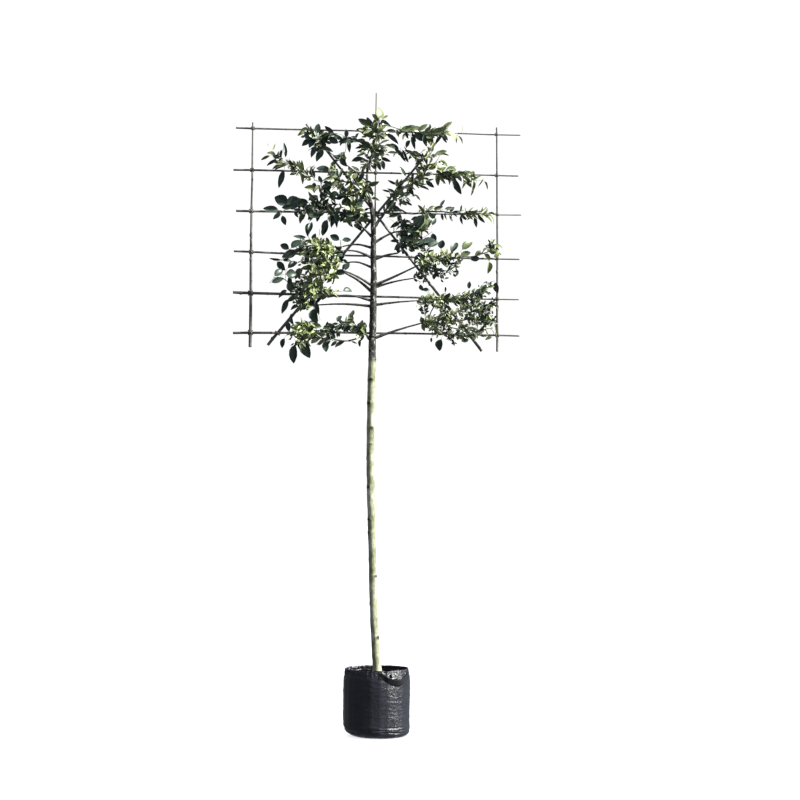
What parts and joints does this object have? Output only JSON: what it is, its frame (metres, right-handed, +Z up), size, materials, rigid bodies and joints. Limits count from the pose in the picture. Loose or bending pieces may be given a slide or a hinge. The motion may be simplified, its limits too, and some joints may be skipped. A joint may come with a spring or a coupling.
{
  "type": "panel-trained young tree in a grow bag",
  "caption": "Slim young tree with a clear stem, a flat leafy head tied to a bamboo panel, and its root ball in a soft black grow bag.",
  "frame": {"origin": "middle of the grow bag's flat underside, on the ground", "axes": "+Z up along the stem, X along the flat panel, the head's front towards -Y"},
  "size_m": [1.531, 0.3492, 3.366],
  "materials": {
    "bark": "smooth mottled olive bark, paler where the sun has bleached it",
    "bough": "dark smooth young bark",
    "leaf": "glossy dark green leaf, lighter at the shoot tips",
    "cane": "weathered grey-brown bamboo",
    "bag": "black woven plastic with a low sheen and soft wrinkles",
    "strap": "black woven strap",
    "soil": "damp crumbly compost"
  },
  "bodies": {
    "root": {"trunk": "bark", "cane_row_1": "cane", "cane_row_2": "cane", "cane_row_3": "cane", "cane_row_4": "cane", "cane_row_5": "cane", "cane_row_6": "cane", "cane_upright_left": "cane", "cane_upright_right": "cane", "cane_slant_up": "cane", "cane_slant_down": "cane", "cane_centre": "cane", "leaves_leader": "leaf", "leaves_left_1": "leaf", "leaves_left_2": "leaf", "leaves_left_3": "leaf", "leaves_left_4": "leaf", "leaves_left_5": "leaf", "leaves_left_6": "leaf", "leaves_left_7": "leaf", "leaves_left_8": "leaf", "leaves_right_1": "leaf", "leaves_right_2": "leaf", "leaves_right_3": "leaf", "leaves_right_4": "leaf", "leaves_right_5": "leaf", "leaves_right_6": "leaf", "leaves_right_7": "leaf", "leaves_right_8": "leaf", "leaves_right_9": "leaf", "leaves_right_10": "leaf", "bough_left_1": "bough", "bough_left_2": "bough", "bough_left_3": "bough", "bough_left_4": "bough", "bough_left_5": "bough", "bough_left_6": "bough", "bough_left_7": "bough", "bough_left_8": "bough", "bough_left_9": "bough", "bough_left_10": "bough", "bough_right_1": "bough", "bough_right_2": "bough", "bough_right_3": "bough", "bough_right_4": "bough", "bough_right_5": "bough", "bough_right_6": "bough", "bough_right_7": "bough", "bough_right_8": "bough", "bough_right_9": "bough", "grow_bag": "bag", "root_ball": "soil", "strap_front": "strap", "strap_back": "strap"}
  },
  "joints": []
}
